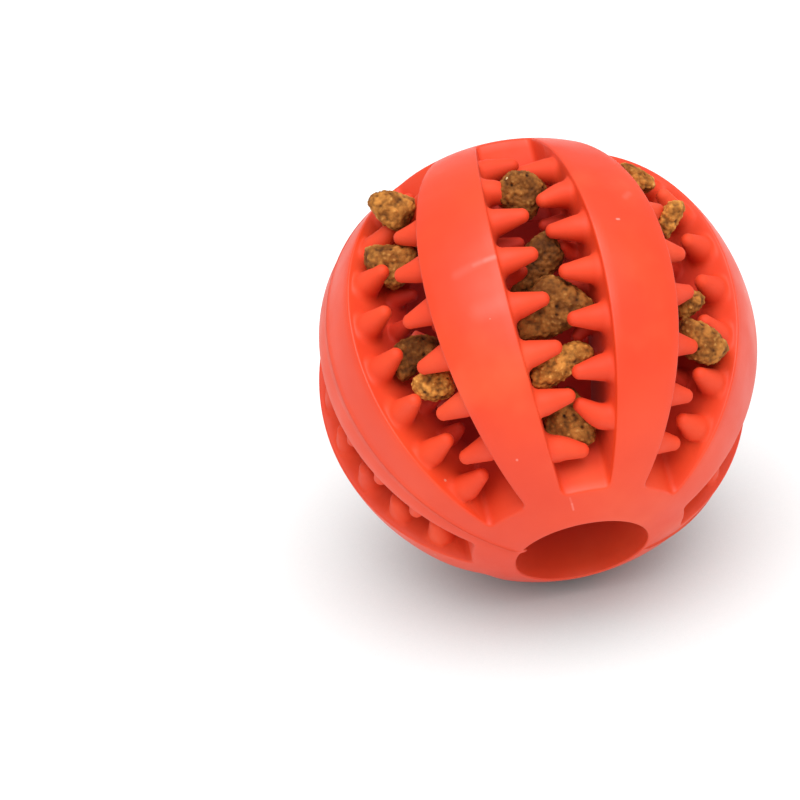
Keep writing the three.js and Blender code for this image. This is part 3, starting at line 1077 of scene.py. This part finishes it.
def food_material():
    """Baked dry food, with painted shade and light from the relief, and the baked tone with painted light
    and shade that each piece keeps.
    """
    material, tree, shader, place = new_material("dry_food")
    tone = add_group(tree, PATCHES, {"Place": place, **FOOD_PATCHES})
    colour = mix_colours(tree, tone, FOOD_DARK, FOOD_LIGHT)
    relief = add_node(tree, "ShaderNodeAttribute", {}, attribute_name="relief").outputs["Fac"]
    # Painted shade in the crevices and painted light on the crests, from the relief
    colour = mix_colours(tree, ramp(tree, relief, *SHADED_CREVICE_HEIGHTS), colour, CREVICE_PAINTED_SHADE)
    colour = mix_colours(tree, ramp(tree, relief, *LIT_CREST_HEIGHTS), colour, CREST_PAINTED_LIGHT)
    # Each piece's baked tone holds painted light and shade as well
    roast_and_shade = add_node(tree, "ShaderNodeAttribute", {}, attribute_name="roast_and_shade").outputs["Vector"]
    colour = compute_vector(tree, "MULTIPLY", colour, roast_and_shade)["Vector"]
    bran = add_group(tree, SPECKS, {"Place": place, **BRAN_SPECKS})
    colour = mix_colours(tree, bran, colour, BRAN_COLOUR)
    tree.links.new(colour, shader.inputs["Base Color"])
    grain = add_group(tree, GRAIN, {"Place": place, **FOOD_GRAIN})
    tree.links.new(grain, shader.inputs["Normal"])
    shader.inputs["Roughness"].default_value = FOOD_ROUGHNESS
    shader.inputs["Specular IOR Level"].default_value = FOOD_SPECULAR
    return material


ball.data.materials.append(rubber_material())
dry_food = food_material()
for piece, _, _ in FOOD:
    piece.data.materials.append(dry_food)


# Floor, light and camera
KEY_DIRECTION = Vector((0.05, -0.32, 0.94))
KEY_STRENGTH = 2.9
KEY_SPREAD = math.radians(60)
FILL_STRENGTH = 0.65
FLOOR_HALF = 2.0
PAPER_COLOUR = (0.9, 0.9, 0.895, 1)
PAPER_ROUGHNESS = 0.9
# The camera sees the floor as a white glow with a painted shadow near what stands on it
FLOOR_GLOW = 1.25
FLOOR_GLOW_SHARE = 0.65
SHADE_REACH = 0.4
SHADE_SAMPLES = 16


def floor_material():
    """White paper. Most of what the camera sees of it is a white glow with a painted shadow where things
    stand near.
    """
    material, tree, shader, _ = new_material("white_floor")
    shader.inputs["Base Color"].default_value = PAPER_COLOUR
    shader.inputs["Roughness"].default_value = PAPER_ROUGHNESS
    shader.inputs["Specular IOR Level"].default_value = 0.0
    shade = {"Distance": SHADE_REACH}
    # Painted shadow: the glow is dimmed by how near things stand
    nearness = add_node(tree, "ShaderNodeAmbientOcclusion", shade, samples=SHADE_SAMPLES)
    light = {"Color": nearness.outputs["Color"], "Strength": FLOOR_GLOW}
    paper = add_node(tree, "ShaderNodeEmission", light)
    rays = tree.nodes.new("ShaderNodeLightPath").outputs
    seen = compute(tree, "ADD", rays["Is Camera Ray"], rays["Is Glossy Ray"])
    seen = compute(tree, "ADD", seen, rays["Is Transmission Ray"])
    share = compute(tree, "MULTIPLY", seen, FLOOR_GLOW_SHARE)
    blend = {0: share, 1: shader.outputs["BSDF"], 2: paper.outputs["Emission"]}
    mixed = add_node(tree, "ShaderNodeMixShader", blend)
    end = next(node for node in tree.nodes if node.type == "OUTPUT_MATERIAL")
    tree.links.new(mixed.outputs["Shader"], end.inputs["Surface"])
    return material


def add_floor():
    corners = [(-1, -1), (1, -1), (1, 1), (-1, 1)]
    mesh = bpy.data.meshes.new("floor")
    mesh.from_pydata([(x * FLOOR_HALF, y * FLOOR_HALF, 0) for x, y in corners], [], [(0, 1, 2, 3)])
    floor = new_object("floor", mesh)
    mesh.materials.append(floor_material())


def add_key_light():
    lamp = bpy.data.lights.new("key", "SUN")
    lamp.energy = KEY_STRENGTH
    lamp.angle = KEY_SPREAD
    key = new_object("key", lamp)
    key.rotation_euler = (-KEY_DIRECTION).to_track_quat("-Z", "Y").to_euler()


def set_world():
    world = bpy.data.worlds.new("white_room")
    world.use_nodes = True
    bpy.context.scene.world = world
    sky = world.node_tree.nodes["Background"]
    sky.inputs["Color"].default_value = (1, 1, 1, 1)
    sky.inputs["Strength"].default_value = FILL_STRENGTH


def add_camera():
    side, up, aim = camera_axes()
    turned = Matrix((side, up, -aim)).transposed().to_4x4()
    lens = bpy.data.cameras.new("camera")
    lens.sensor_width = SENSOR_WIDTH
    lens.lens = SENSOR_WIDTH * FOCAL_PIXELS / FRAME_PIXELS
    camera = new_object("camera", lens)
    camera.matrix_world = Matrix.Translation(CENTRE + CAMERA_DISTANCE * TO_CAMERA) @ turned
    bpy.context.scene.camera = camera


add_floor()
add_key_light()
set_world()
add_camera()
bpy.context.scene.view_settings.view_transform = "Standard"

bpy.context.view_layer.update()
